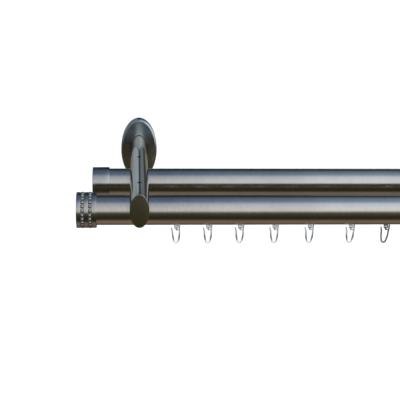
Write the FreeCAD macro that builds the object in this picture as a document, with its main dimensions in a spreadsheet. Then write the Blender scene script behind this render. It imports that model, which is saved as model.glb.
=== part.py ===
import FreeCAD
import Part
import math
import os

import Sketcher

# Double curtain pole: two slotted round rods side by side on two wall brackets, with gliders
# and hooks in the slots. X runs along the rods, the wall is the plane Y = 0 and the room is at
# -Y, and Z = 0 is the height of the bracket arms' axis. Lengths are in millimetres, angles in
# degrees.

DRIVING_SIZES = {
    # rods
    "rodLength": 800.0,
    "rodDia": 20.0,
    "rodWall": 1.2,
    "slotWidth": 4.6,
    "lipThickness": 2.2,
    "channelHeight": 3.6,
    "webThickness": 1.0,
    "rearRodDepth": 65.7,
    "frontRodDepth": 127.7,
    "rodDrop": 7.75,
    "rodOverhang": 30.9,
    # brackets
    "armWidth": 12.7,
    "armHeight": 22.7,
    "armReach": 154.0,
    "armChamfer": 0.2,
    "cradleClearance": 0.1,
    "rosetteWidth": 27.0,
    "rosetteHeight": 47.2,
    "rosetteDepth": 7.05,
    "rosetteWall": 1.2,
    "rosetteRim": 5.6,
    "rimBevel": 1.2,
    "armHoleClearance": 0.15,
    "plateThickness": 3.0,
    "plateClearance": 0.4,
    "wallHoleDia": 4.5,
    "wallHoleSpacing": 32.0,
    "sinkDia": 8.2,
    "spigotDia": 8.0,
    "spigotLength": 20.0,
    "socketClearance": 0.1,
    # grub screws
    "armScrewDia": 4.0,
    "armScrewLength": 6.0,
    "armScrewDepth": 16.0,
    "rodScrewDia": 3.0,
    "rodScrewLength": 8.0,
    "screwClearance": 0.1,
    "tipGap": 0.05,
    "keyShare": 0.3,
    "keyDepth": 1.6,
    # end caps
    "frontCapDia": 23.8,
    "frontCapLength": 13.25,
    "frontCapDepth": 2.7,
    "frontCapChamfer": 0.3,
    "rearCapDia": 22.0,
    "rearCapLength": 12.0,
    "rearCapDepth": 10.05,
    "rearCapChamfer": 0.5,
    "capClearance": 0.1,
    "capEndGap": 0.2,
    "beadCount": 24,
    "beadRadius": 1.25,
    "beadStand": 0.3,
    "beadGrooveWidth": 2.3,
    "beadGrooveDepth": 1.1,
    "firstBeadRing": 4.1,
    "secondBeadRing": 9.1,
    # plugs between caps and rods
    "plugLength": 9.0,
    "plugClearance": 0.1,
    "pegDia": 6.0,
    "pegLength": 1.1,
    # gliders
    "headLength": 8.0,
    "headWidth": 7.6,
    "headHeight": 2.2,
    "glideClearance": 0.3,
    "neckLength": 4.5,
    "neckWidth": 3.9,
    "eyeWidth": 3.0,
    "eyeStrand": 0.8,
    "eyeDrop": 3.4,
    "eyeCorner": 0.6,
    # hooks
    "hookStrand": 0.9,
    "endShare": 0.8,
    "hookDrop": 13.9,
    "hookBend": 1.5,
    "bendOffset": 0.35,
    "fingerOffset": 2.3,
    "fingerBelowRod": 0.45,
    "elbowOffset": 1.92,
    "elbowBelowRod": 8.6,
    "kneeOffset": 2.47,
    "kneeBelowRod": 8.8,
    "kneeRadius": 10.0,
    "flareOffset": 2.65,
    "flareBelowRod": 5.2,
    "flareRadius": 8.0,
    "tipOffset": 3.35,
    "tipBelowRod": 2.25,
    "barrelBore": 1.4,
    "barrelWall": 0.35,
    "barrelWidth": 0.8,
    "linkDia": 0.8,
    "linkDrop": 1.2,
}

# where each glider hangs, to the right of the left bracket, and how far its hook leans
FRONT_GLIDERS = [24.6, 46.1, 67.6, 90.9, 114.8, 142.6, 166.4, 190.5]
REAR_GLIDERS = [23.0, 46.5, 70.0, 92.0, 116.5, 139.0, 163.0, 188.0]
HOOK_LEANS = [-2.5, -1.5, -0.5, -1.0, 0.5, 2.0, 4.5, 1.5]

# a wall cover's dome at each section: share of the outline, and share of the rise still to come
DOME_SHARES = [(1.0, 1.0), (0.75, 0.25), (0.5, 0.0)]

SIDES = {"left": -1, "right": 1}


class Dim:
    # a size together with the sheet expression that gives it

    def __init__(self, value, text):
        self.value = value
        self.text = text

    def __add__(self, other):
        other = asDim(other)
        return Dim(self.value + other.value, f"({self.text} + {other.text})")

    def __sub__(self, other):
        other = asDim(other)
        return Dim(self.value - other.value, f"({self.text} - {other.text})")

    def __mul__(self, other):
        other = asDim(other)
        return Dim(self.value * other.value, f"({self.text} * {other.text})")

    def __truediv__(self, other):
        other = asDim(other)
        return Dim(self.value / other.value, f"({self.text} / {other.text})")

    def __neg__(self):
        return Dim(-self.value, f"(0 - {self.text})")


def asDim(size):
    if isinstance(size, Dim):
        return size
    return Dim(float(size), f"({float(size)})")


def root(size):
    return Dim(math.sqrt(size.value), f"sqrt({size.text})")


def bind(thing, prop, size):
    thing.setExpression(prop, asDim(size).text)


doc = FreeCAD.newDocument("double_curtain_pole")
sheet = doc.addObject("Spreadsheet::Sheet", "sizes")
gliderCells = {}
for rodName, places in (("front", FRONT_GLIDERS), ("rear", REAR_GLIDERS)):
    for number, place in enumerate(places, start=1):
        gliderCells[f"{rodName}Glider{number}"] = place
for number, lean in enumerate(HOOK_LEANS, start=1):
    gliderCells[f"hookLean{number}"] = lean
dims = {}
for row, (alias, value) in enumerate({**DRIVING_SIZES, **gliderCells}.items(), start=1):
    sheet.set(f"A{row}", alias)
    sheet.set(f"B{row}", str(value))
    sheet.setAlias(f"B{row}", alias)
    dims[alias] = Dim(float(value), f"sizes.{alias}")
doc.recompute()

# sizes that several pieces share
bracketX = dims["rodLength"] / 2 - dims["rodOverhang"]
rodRadius = dims["rodDia"] / 2
boreRadius = rodRadius - dims["rodWall"]
channelFloor = dims["lipThickness"] - rodRadius
channelRoof = channelFloor + dims["channelHeight"]
webTop = channelRoof + dims["webThickness"]
rodHeight = -dims["rodDrop"]
armBottom = -dims["armHeight"] / 2
spigotRadius = dims["spigotDia"] / 2
barCentre = -rodRadius - dims["eyeDrop"] + dims["eyeStrand"] / 2
rodDepths = {"front": dims["frontRodDepth"], "rear": dims["rearRodDepth"]}

UPRIGHT = FreeCAD.Rotation(
    FreeCAD.Vector(0, 0, 1), FreeCAD.Vector(1, 0, 0), FreeCAD.Vector(0, 1, 0)
)
AXES = {
    "x": FreeCAD.Rotation(FreeCAD.Vector(0, 1, 0), 90),
    "room": FreeCAD.Rotation(FreeCAD.Vector(1, 0, 0), 90),
    "up": FreeCAD.Rotation(),
}


def newBody(label):
    body = doc.addObject("PartDesign::Body", label)
    body.Label = label
    return body


def originFeature(body, role):
    return next(f for f in body.Origin.OriginFeatures if f.Role == role)


def newSketch(body, role, name, offset=None):
    sketch = body.newObject("Sketcher::SketchObject", name)
    sketch.AttachmentSupport = [(originFeature(body, role), "")]
    sketch.MapMode = "FlatFace"
    if offset is not None:
        bind(sketch, "AttachmentOffset.Base.z", offset)
    return sketch


def point(x, y):
    return FreeCAD.Vector(asDim(x).value, asDim(y).value, 0)


def tie(sketch, kind, *refs):
    sketch.addConstraint(Sketcher.Constraint(kind, *refs))


def hold(sketch, kind, *refs, size):
    size = asDim(size)
    index = sketch.addConstraint(Sketcher.Constraint(kind, *refs, size.value))
    sketch.setExpression(f"Constraints[{index}]", size.text)


def holdPoint(sketch, edge, end, x, y):
    hold(sketch, "DistanceX", -1, 1, edge, end, size=x)
    hold(sketch, "DistanceY", -1, 1, edge, end, size=y)


def polygon(sketch, corners):
    first = sketch.GeometryCount
    count = len(corners)
    for i, corner in enumerate(corners):
        after = corners[(i + 1) % count]
        sketch.addGeometry(Part.LineSegment(point(*corner), point(*after)), False)
    for i, corner in enumerate(corners):
        tie(sketch, "Coincident", first + i, 2, first + (i + 1) % count, 1)
        holdPoint(sketch, first + i, 1, *corner)


def box(sketch, left, right, bottom, top):
    polygon(sketch, [(left, bottom), (right, bottom), (right, top), (left, top)])


def circle(sketch, x, y, radius):
    radius = asDim(radius)
    ring = Part.Circle(point(x, y), FreeCAD.Vector(0, 0, 1), radius.value)
    index = sketch.addGeometry(ring, False)
    holdPoint(sketch, index, 3, x, y)
    hold(sketch, "Radius", index, size=radius)


def arc(sketch, centre, radius, start, end):
    # counter-clockwise arc between two points of its circle
    middle = point(*centre)
    angles = []
    for corner in (start, end):
        arm = point(*corner) - middle
        angles.append(math.atan2(arm.y, arm.x))
    if angles[1] <= angles[0]:
        angles[1] += 2 * math.pi
    ring = Part.Circle(middle, FreeCAD.Vector(0, 0, 1), radius.value)
    index = sketch.addGeometry(Part.ArcOfCircle(ring, *angles), False)
    hold(sketch, "Radius", index, size=radius)
    return index


def line(sketch, start, end):
    return sketch.addGeometry(Part.LineSegment(point(*start), point(*end)), False)


def tangentPoint(centre, radius, outside, turn):
    # where a line from an outside point touches a circle, turn 1 or -1 picking the side
    middle = point(*centre)
    reach = point(*outside) - middle
    angle = math.atan2(reach.y, reach.x) + turn * math.acos(radius.value / reach.Length)
    return middle.x + radius.value * math.cos(angle), middle.y + radius.value * math.sin(angle)


def roundCorner(before, corner, after, radius):
    # tangent arc inside a corner, as its centre and its ends towards the points before and after
    middle = point(*corner)
    first = (point(*before) - middle).normalize()
    last = (point(*after) - middle).normalize()
    half = first.getAngle(last) / 2
    centre = middle + (first + last).normalize() * (radius.value / math.sin(half))
    cut = radius.value / math.tan(half)
    start = middle + first * cut
    end = middle + last * cut
    return (centre.x, centre.y), (start.x, start.y), (end.x, end.y)


def pinCorner(sketch, corner, before, after):
    # two lines that an arc joins still aim at their corner
    index = sketch.addGeometry(Part.Point(point(*corner)), True)
    holdPoint(sketch, index, 1, *corner)
    tie(sketch, "PointOnObject", index, 1, before)
    tie(sketch, "PointOnObject", index, 1, after)


def pad(body, sketch, name, length):
    feature = body.newObject("PartDesign::Pad", name)
    feature.Profile = sketch
    bind(feature, "Length", length)
    doc.recompute()
    return feature


def place(thing, x, y, z, turn=None):
    if turn is not None:
        thing.Placement = FreeCAD.Placement(FreeCAD.Vector(), turn)
    for axis, size in (("x", x), ("y", y), ("z", z)):
        bind(thing, f"Placement.Base.{axis}", size)


def roundBar(name, radius, length, axis, x, y, z):
    bar = doc.addObject("Part::Cylinder", name)
    bind(bar, "Radius", radius)
    bind(bar, "Height", length)
    place(bar, x, y, z, AXES[axis])
    return bar


def cone(name, small, large, length, x, y, z):
    # widens towards the room
    taper = doc.addObject("Part::Cone", name)
    bind(taper, "Radius1", small)
    bind(taper, "Radius2", large)
    bind(taper, "Height", length)
    place(taper, x, y, z, AXES["room"])
    return taper


def oval(name, width, height, depth):
    # upright oval outline at a distance in front of the wall
    outline = doc.addObject("Part::Ellipse", name)
    bind(outline, "MajorRadius", height / 2)
    bind(outline, "MinorRadius", width / 2)
    place(outline, 0, -asDim(depth), 0, UPRIGHT)
    return outline


def ovalBar(name, width, height, start, length):
    bar = doc.addObject("Part::Extrusion", name)
    bar.Base = oval(f"{name}_outline", width, height, start)
    bar.DirMode = "Custom"
    bar.Dir = FreeCAD.Vector(0, -1, 0)
    bind(bar, "LengthFwd", length)
    bar.Solid = True
    return bar


def ovalLoft(name, sections):
    # each section is a width, a height and a distance in front of the wall
    loft = doc.addObject("Part::Loft", name)
    loft.Sections = [
        oval(f"{name}_section{i}", width, height, depth)
        for i, (width, height, depth) in enumerate(sections, start=1)
    ]
    loft.Solid = True
    return loft


def fused(name, pieces):
    joined = doc.addObject("Part::MultiFuse", name)
    joined.Shapes = pieces
    joined.Refine = True
    return joined


def cut(label, base, tool):
    result = doc.addObject("Part::Cut", label)
    result.Base = base
    result.Tool = tool
    result.Refine = True
    result.Label = label
    return result


def makeRod(label, depth):
    # one extruded section: round wall, glider channel behind a slot, web over the channel
    half = dims["slotWidth"] / 2
    edge = -root(rodRadius * rodRadius - half * half)
    floorX = root(boreRadius * boreRadius - channelFloor * channelFloor)
    roofX = root(boreRadius * boreRadius - channelRoof * channelRoof)
    webX = root(boreRadius * boreRadius - webTop * webTop)
    body = newBody(label)
    sketch = newSketch(body, "YZ_Plane", f"{label}_section")
    outer = arc(sketch, (0, 0), rodRadius, (half, edge), (-half, edge))
    leftSlot = line(sketch, (-half, edge), (-half, channelFloor))
    leftFloor = line(sketch, (-half, channelFloor), (-floorX, channelFloor))
    leftWall = arc(sketch, (0, 0), boreRadius, (-roofX, channelRoof), (-floorX, channelFloor))
    roof = line(sketch, (-roofX, channelRoof), (roofX, channelRoof))
    rightWall = arc(sketch, (0, 0), boreRadius, (floorX, channelFloor), (roofX, channelRoof))
    rightFloor = line(sketch, (floorX, channelFloor), (half, channelFloor))
    rightSlot = line(sketch, (half, channelFloor), (half, edge))
    chamber = arc(sketch, (0, 0), boreRadius, (webX, webTop), (-webX, webTop))
    web = line(sketch, (-webX, webTop), (webX, webTop))
    for first, firstEnd, second, secondEnd in (
        (outer, 2, leftSlot, 1),
        (leftSlot, 2, leftFloor, 1),
        (leftFloor, 2, leftWall, 2),
        (leftWall, 1, roof, 1),
        (roof, 2, rightWall, 2),
        (rightWall, 1, rightFloor, 1),
        (rightFloor, 2, rightSlot, 1),
        (rightSlot, 2, outer, 1),
        (chamber, 2, web, 1),
        (web, 2, chamber, 1),
    ):
        tie(sketch, "Coincident", first, firstEnd, second, secondEnd)
    for curve in (outer, leftWall, rightWall, chamber):
        tie(sketch, "Coincident", curve, 3, -1, 1)
    for upright in (leftSlot, rightSlot):
        tie(sketch, "Vertical", upright)
    for level in (leftFloor, roof, rightFloor, web):
        tie(sketch, "Horizontal", level)
    hold(sketch, "DistanceX", -1, 1, leftSlot, 1, size=-half)
    hold(sketch, "DistanceX", -1, 1, rightSlot, 1, size=half)
    hold(sketch, "DistanceY", -1, 1, leftFloor, 1, size=channelFloor)
    hold(sketch, "DistanceY", -1, 1, rightFloor, 1, size=channelFloor)
    hold(sketch, "DistanceY", -1, 1, roof, 1, size=channelRoof)
    hold(sketch, "DistanceY", -1, 1, web, 1, size=webTop)
    pad(body, sketch, f"{label}_extrusion", dims["rodLength"])
    place(body, -dims["rodLength"] / 2, -depth, rodHeight)
    return body


def capProfile(radius, length, depth, chamfer, grooves):
    # half section of a cap: outer end at x = 0, open end towards +x
    bore = rodRadius + dims["capClearance"]
    floor = length - depth
    peg = dims["pegDia"] / 2 + dims["plugClearance"]
    pegFloor = floor - dims["pegLength"] - dims["plugClearance"]
    corners = [(0, 0), (0, radius - chamfer), (chamfer, radius)]
    for centre in grooves:
        left = centre - dims["beadGrooveWidth"] / 2
        right = centre + dims["beadGrooveWidth"] / 2
        bottom = radius - dims["beadGrooveDepth"]
        corners += [(left, radius), (left, bottom), (right, bottom), (right, radius)]
    corners += [
        (length - chamfer, radius),
        (length, radius - chamfer),
        (length, bore),
        (floor, bore),
        (floor, peg),
        (pegFloor, peg),
        (pegFloor, 0),
    ]
    return corners


def makeCap(rod, side, grooves):
    label = f"{rod}_cap_{side}"
    diameter = dims[f"{rod}CapDia"]
    length = dims[f"{rod}CapLength"]
    sleeve = dims[f"{rod}CapDepth"]
    chamfer = dims[f"{rod}CapChamfer"]
    body = newBody(label)
    sketch = newSketch(body, "XZ_Plane", f"{label}_section")
    polygon(sketch, capProfile(diameter / 2, length, sleeve, chamfer, grooves))
    turned = body.newObject("PartDesign::Revolution", f"{label}_turned")
    turned.Profile = sketch
    turned.ReferenceAxis = (sketch, ["H_Axis"])
    turned.Angle = 360.0
    doc.recompute()
    beadCentre = diameter / 2 + dims["beadStand"] - dims["beadRadius"]
    for ring, centre in enumerate(grooves, start=1):
        bead = body.newObject("PartDesign::AdditiveSphere", f"{label}_bead{ring}")
        bead.AttachmentSupport = [(originFeature(body, "XY_Plane"), "")]
        bead.MapMode = "FlatFace"
        bind(bead, "Radius", dims["beadRadius"])
        bind(bead, "AttachmentOffset.Base.x", centre)
        bind(bead, "AttachmentOffset.Base.z", beadCentre)
        doc.recompute()
        beads = body.newObject("PartDesign::PolarPattern", f"{label}_beads{ring}")
        beads.Originals = [bead]
        beads.Axis = (originFeature(body, "X_Axis"), [""])
        beads.Angle = 360.0
        bind(beads, "Occurrences", dims["beadCount"])
        body.Tip = beads
        doc.recompute()
    turn = FreeCAD.Rotation(FreeCAD.Vector(0, 0, 1), 0 if SIDES[side] < 0 else 180)
    outerEnd = dims["rodLength"] / 2 + dims["capEndGap"] + length - sleeve
    place(body, outerEnd * SIDES[side], -rodDepths[rod], rodHeight, turn)
    return body


def makePlug(label, side, depth):
    # fills the rod's upper chamber, with a round peg that locates the cap
    radius = boreRadius - dims["plugClearance"]
    flat = webTop + dims["plugClearance"]
    halfFlat = root(radius * radius - flat * flat)
    body = newBody(label)
    sketch = newSketch(body, "YZ_Plane", f"{label}_section", dims["capEndGap"])
    dome = arc(sketch, (0, 0), radius, (halfFlat, flat), (-halfFlat, flat))
    chord = line(sketch, (-halfFlat, flat), (halfFlat, flat))
    tie(sketch, "Coincident", dome, 3, -1, 1)
    tie(sketch, "Coincident", dome, 2, chord, 1)
    tie(sketch, "Coincident", chord, 2, dome, 1)
    tie(sketch, "Horizontal", chord)
    hold(sketch, "DistanceY", -1, 1, chord, 1, size=flat)
    pad(body, sketch, f"{label}_block", dims["plugLength"])
    peg = newSketch(body, "YZ_Plane", f"{label}_peg_section", -dims["pegLength"])
    circle(peg, 0, 0, dims["pegDia"] / 2)
    pad(body, peg, f"{label}_peg", dims["pegLength"] + dims["capEndGap"])
    turn = FreeCAD.Rotation(FreeCAD.Vector(0, 0, 1), 0 if SIDES[side] < 0 else 180)
    seat = dims["rodLength"] / 2 + dims["capEndGap"]
    place(body, seat * SIDES[side], -depth, rodHeight, turn)
    return body


def makeWallPlate(label, side):
    # oval steel plate with two countersunk holes and the spigot that carries the arm
    inset = (dims["rosetteWall"] + dims["plateClearance"]) * 2
    thick = dims["plateThickness"]
    plate = ovalBar(
        f"{label}_blank", dims["rosetteWidth"] - inset, dims["rosetteHeight"] - inset, 0, thick
    )
    spigot = roundBar(
        f"{label}_spigot", spigotRadius, thick + dims["spigotLength"], "room", 0, 0, 0
    )
    tools = []
    holeRadius = dims["wallHoleDia"] / 2
    sinkRadius = dims["sinkDia"] / 2
    sinkDepth = sinkRadius - holeRadius
    for end, sign in (("lower", -1), ("upper", 1)):
        height = dims["wallHoleSpacing"] / 2 * sign
        tools.append(roundBar(f"{label}_{end}_hole", holeRadius, thick, "room", 0, 0, height))
        tools.append(
            cone(
                f"{label}_{end}_sink", holeRadius, sinkRadius, sinkDepth, 0, sinkDepth - thick, height
            )
        )
    blank = fused(f"{label}_solid", [plate, spigot])
    result = cut(label, blank, fused(f"{label}_holes", tools))
    place(result, bracketX * SIDES[side], 0, 0)
    return result


def domeLoft(name, width, height, base, top):
    rise = top - base
    return ovalLoft(
        name, [(width * size, height * size, top - rise * left) for size, left in DOME_SHARES]
    )


def makeRosette(label, side):
    # thin domed cover over the wall plate, with an oval hole that the arm passes through
    width = dims["rosetteWidth"]
    height = dims["rosetteHeight"]
    rimTop = dims["rosetteRim"]
    bevel = dims["rimBevel"]
    bevelTop = rimTop + bevel
    depth = dims["rosetteDepth"]
    innerWidth = width - dims["rosetteWall"] * 2
    innerHeight = height - dims["rosetteWall"] * 2
    domeWidth = width - bevel * 2
    domeHeight = height - bevel * 2
    shell = fused(
        f"{label}_outer",
        [
            ovalBar(f"{label}_rim", width, height, 0, rimTop),
            ovalLoft(
                f"{label}_bevel", [(width, height, rimTop), (domeWidth, domeHeight, bevelTop)]
            ),
            domeLoft(f"{label}_dome", domeWidth, domeHeight, bevelTop, depth),
        ],
    )
    hollow = fused(
        f"{label}_inner",
        [
            ovalBar(f"{label}_hollow_rim", innerWidth, innerHeight, 0, rimTop),
            domeLoft(
                f"{label}_hollow_dome", innerWidth, innerHeight, rimTop, depth - dims["rosetteWall"]
            ),
            ovalBar(
                f"{label}_arm_hole",
                dims["armWidth"] + dims["armHoleClearance"] * 2,
                dims["armHeight"] + dims["armHoleClearance"] * 2,
                0,
                depth * 2,
            ),
        ],
    )
    result = cut(label, shell, hollow)
    place(result, bracketX * SIDES[side], 0, 0)
    return result


def makeArm(label, side):
    # oval bar with a socket for the spigot and a cradle across it for each rod
    start = dims["plateThickness"]
    chamfer = dims["armChamfer"]
    shank = ovalBar(
        f"{label}_bar", dims["armWidth"], dims["armHeight"], start, dims["armReach"] - start - chamfer
    )
    nose = ovalLoft(
        f"{label}_nose",
        [
            (dims["armWidth"], dims["armHeight"], dims["armReach"] - chamfer),
            (
                dims["armWidth"] - chamfer * 2,
                dims["armHeight"] - chamfer * 2,
                dims["armReach"],
            ),
        ],
    )
    socketLength = start + dims["spigotLength"] + dims["socketClearance"]
    tools = [
        roundBar(
            f"{label}_socket", spigotRadius + dims["socketClearance"], socketLength, "room", 0, 0, 0
        )
    ]
    cradle = rodRadius + dims["cradleClearance"]
    width = dims["armWidth"] * 2
    drill = dims["rodScrewDia"] / 2 + dims["screwClearance"]
    for rod, depth in rodDepths.items():
        tools.append(
            roundBar(f"{label}_{rod}_cradle", cradle, width, "x", -width / 2, -depth, rodHeight)
        )
        tools.append(
            roundBar(f"{label}_{rod}_tapping", drill, dims["armHeight"], "up", 0, -depth, rodHeight)
        )
    tools.append(
        roundBar(
            f"{label}_lower_tapping",
            dims["armScrewDia"] / 2 + dims["screwClearance"],
            -armBottom,
            "up",
            0,
            -dims["armScrewDepth"],
            armBottom,
        )
    )
    result = cut(label, fused(f"{label}_solid", [shank, nose]), fused(f"{label}_cuts", tools))
    place(result, bracketX * SIDES[side], 0, 0)
    return result


def makeGrubScrew(label, side, diameter, length, depth, tip, upward):
    # pin with a hexagon socket in its outer end, its tip at the given height
    pin = roundBar(f"{label}_pin", diameter / 2, length, "up", 0, 0, 0)
    key = doc.addObject("Part::Prism", f"{label}_key")
    key.Polygon = 6
    bind(key, "Circumradius", diameter * dims["keyShare"])
    bind(key, "Height", dims["keyDepth"])
    place(key, 0, 0, length - dims["keyDepth"])
    result = cut(label, pin, key)
    turn = FreeCAD.Rotation(FreeCAD.Vector(1, 0, 0), 0 if upward else 180)
    place(result, bracketX * SIDES[side], -depth, tip, turn)
    return result


def makeGlider(label, rod, spot):
    # head in the rod's channel, neck through the slot, flat eye below the rod
    headBottom = channelFloor + dims["glideClearance"]
    body = newBody(label)
    head = newSketch(body, "XY_Plane", f"{label}_head_outline", headBottom)
    halfLength = dims["headLength"] / 2
    halfWidth = dims["headWidth"] / 2
    bevel = dims["headHeight"] / 2
    polygon(
        head,
        [
            (-halfLength, bevel - halfWidth),
            (bevel - halfLength, -halfWidth),
            (halfLength - bevel, -halfWidth),
            (halfLength, bevel - halfWidth),
            (halfLength, halfWidth - bevel),
            (halfLength - bevel, halfWidth),
            (bevel - halfLength, halfWidth),
            (-halfLength, halfWidth - bevel),
        ],
    )
    pad(body, head, f"{label}_head", dims["headHeight"])
    neck = newSketch(body, "XY_Plane", f"{label}_neck_outline", -rodRadius)
    neckEnd = dims["neckLength"] / 2
    neckSide = dims["neckWidth"] / 2
    box(neck, -neckEnd, neckEnd, -neckSide, neckSide)
    pad(body, neck, f"{label}_neck", headBottom + rodRadius)
    halfEye = dims["eyeWidth"] / 2
    thick = dims["eyeStrand"]
    eye = newSketch(body, "XZ_Plane", f"{label}_eye_outline", -thick / 2)
    bottom = -rodRadius - dims["eyeDrop"]
    corner = dims["eyeCorner"]
    polygon(
        eye,
        [
            (-halfEye, -rodRadius),
            (-halfEye, bottom + corner),
            (corner - halfEye, bottom),
            (halfEye - corner, bottom),
            (halfEye, bottom + corner),
            (halfEye, -rodRadius),
        ],
    )
    inner = halfEye - thick
    holeTop = barCentre + dims["barrelBore"] / 2 + dims["barrelWall"] + dims["glideClearance"]
    box(eye, -inner, inner, bottom + thick, holeTop)
    pad(body, eye, f"{label}_eye", thick)
    place(body, spot - bracketX, -rodDepths[rod], rodHeight)
    return body


def makeHook(label, rod, spot, lean):
    # a barrel round the glider's bar, linked to a strand that stands beside the eye as a finger,
    # runs down to the bend and rises to the free tip, which flares outwards
    strand = dims["hookStrand"] / 2
    bend = dims["hookBend"]
    bendZ = -rodRadius - dims["hookDrop"] - barCentre + strand + bend
    rodBottom = -rodRadius - barCentre
    finger = (dims["fingerOffset"], rodBottom - dims["fingerBelowRod"])
    elbow = (dims["elbowOffset"], rodBottom - dims["elbowBelowRod"])
    bendCentre = (-dims["bendOffset"], bendZ)
    knee = (-dims["kneeOffset"], rodBottom - dims["kneeBelowRod"])
    flare = (-dims["flareOffset"], rodBottom - dims["flareBelowRod"])
    tip = (-dims["tipOffset"], rodBottom - dims["tipBelowRod"])
    start = -dims["barrelWidth"] / 2
    body = newBody(label)
    barrel = newSketch(body, "YZ_Plane", f"{label}_barrel_section", start)
    bore = dims["barrelBore"] / 2
    circle(barrel, 0, 0, bore)
    circle(barrel, 0, 0, bore + dims["barrelWall"])
    pad(body, barrel, f"{label}_barrel", dims["barrelWidth"])
    link = newSketch(body, "YZ_Plane", f"{label}_link_section", start)
    circle(link, 0, -dims["linkDrop"], dims["linkDia"] / 2)
    pad(body, link, f"{label}_link", finger[0] - strand / 2 - start)

    right = tangentPoint(bendCentre, bend, elbow, -1)
    left = tangentPoint(bendCentre, bend, knee, 1)
    kneeRadius = dims["kneeRadius"]
    flareRadius = dims["flareRadius"]
    elbowCentre, elbowStart, elbowEnd = roundCorner(finger, elbow, right, kneeRadius)
    kneeCentre, kneeStart, kneeEnd = roundCorner(left, knee, flare, kneeRadius)
    flareCentre, flareStart, flareEnd = roundCorner(knee, flare, tip, flareRadius)
    path = newSketch(body, "XZ_Plane", f"{label}_path")
    shank = line(path, finger, elbowStart)
    elbowArc = arc(path, elbowCentre, kneeRadius, elbowEnd, elbowStart)
    descent = line(path, elbowEnd, right)
    bendArc = arc(path, bendCentre, bend, left, right)
    rise = line(path, left, kneeStart)
    kneeArc = arc(path, kneeCentre, kneeRadius, kneeEnd, kneeStart)
    free = line(path, kneeEnd, flareStart)
    flareArc = arc(path, flareCentre, flareRadius, flareStart, flareEnd)
    tipLine = line(path, flareEnd, tip)
    for first, firstEnd, second, secondEnd in (
        (shank, 2, elbowArc, 2),
        (elbowArc, 1, descent, 1),
        (descent, 2, bendArc, 2),
        (bendArc, 1, rise, 1),
        (rise, 2, kneeArc, 2),
        (kneeArc, 1, free, 1),
        (free, 2, flareArc, 1),
        (flareArc, 2, tipLine, 1),
    ):
        tie(path, "Tangent", first, firstEnd, second, secondEnd)
    holdPoint(path, shank, 1, *finger)
    holdPoint(path, bendArc, 3, *bendCentre)
    holdPoint(path, tipLine, 2, *tip)
    pinCorner(path, elbow, shank, descent)
    pinCorner(path, knee, rise, free)
    pinCorner(path, flare, free, tipLine)
    section = newSketch(body, "XY_Plane", f"{label}_strand_section", finger[1])
    circle(section, finger[0], 0, strand)
    pipe = body.newObject("PartDesign::AdditivePipe", f"{label}_strand")
    pipe.Profile = section
    pipe.Spine = (path, [])
    doc.recompute()
    strandEnds = [FreeCAD.Vector(x.value, 0, z.value) for x, z in (finger, tip)]
    endEdges = [
        f"Edge{i}"
        for i, edge in enumerate(pipe.Shape.Edges, start=1)
        if min(edge.CenterOfMass.distanceToPoint(end) for end in strandEnds) < strand.value / 2
    ]
    rounded = body.newObject("PartDesign::Fillet", f"{label}_ends")
    rounded.Base = (pipe, endEdges)
    bind(rounded, "Radius", strand * dims["endShare"])
    body.Tip = rounded
    body.Placement = FreeCAD.Placement(FreeCAD.Vector(), FreeCAD.Rotation(FreeCAD.Vector(0, 1, 0), 1))
    bind(body, "Placement.Rotation.Angle", lean)
    place(body, spot - bracketX, -rodDepths[rod], rodHeight + barCentre)
    return body


def buildAll():
    pieces = []
    beadRings = [dims["firstBeadRing"], dims["secondBeadRing"]]
    for rod, depth in rodDepths.items():
        pieces.append(makeRod(f"{rod}_rod", depth))
        for side in SIDES:
            pieces.append(makeCap(rod, side, beadRings if rod == "front" else []))
            pieces.append(makePlug(f"{rod}_plug_{side}", side, depth))
    for side in SIDES:
        pieces.append(makeWallPlate(f"wall_plate_{side}", side))
        pieces.append(makeRosette(f"rosette_{side}", side))
        pieces.append(makeArm(f"arm_{side}", side))
        pieces.append(
            makeGrubScrew(
                f"arm_screw_{side}",
                side,
                dims["armScrewDia"],
                dims["armScrewLength"],
                dims["armScrewDepth"],
                -spigotRadius - dims["tipGap"],
                False,
            )
        )
        for rod, depth in rodDepths.items():
            pieces.append(
                makeGrubScrew(
                    f"{rod}_rod_screw_{side}",
                    side,
                    dims["rodScrewDia"],
                    dims["rodScrewLength"],
                    depth,
                    rodHeight + rodRadius + dims["tipGap"],
                    True,
                )
            )
    for rod in rodDepths:
        for number in range(1, len(FRONT_GLIDERS) + 1):
            spot = dims[f"{rod}Glider{number}"]
            lean = dims[f"hookLean{number}"]
            pieces.append(makeGlider(f"{rod}_glider_{number}", rod, spot))
            pieces.append(makeHook(f"{rod}_hook_{number}", rod, spot, lean))
    return pieces


def checkAndWrite(pieces):
    doc.recompute()
    for thing in doc.Objects:
        if {"Invalid", "Error"} & set(thing.State):
            raise RuntimeError(f"{thing.Label} failed: {thing.State}")
    for piece in pieces:
        if piece.Shape.isNull() or not piece.Shape.isValid():
            raise RuntimeError(f"{piece.Label} has no valid shape")
        if len(piece.Shape.Solids) != 1:
            raise RuntimeError(f"{piece.Label} has {len(piece.Shape.Solids)} solids")
    os.makedirs("parts", exist_ok=True)
    for piece in pieces:
        piece.Shape.exportStep(f"parts/{piece.Label}.step")
        extent = piece.Shape.BoundBox
        print(
            f"{piece.Label}: {piece.Shape.Volume:.1f} mm3,",
            f"{extent.XLength:.2f} x {extent.YLength:.2f} x {extent.ZLength:.2f} mm",
        )


checkAndWrite(buildAll())
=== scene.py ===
import math

import bmesh
import bpy
from mathutils import Matrix, Vector


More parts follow.
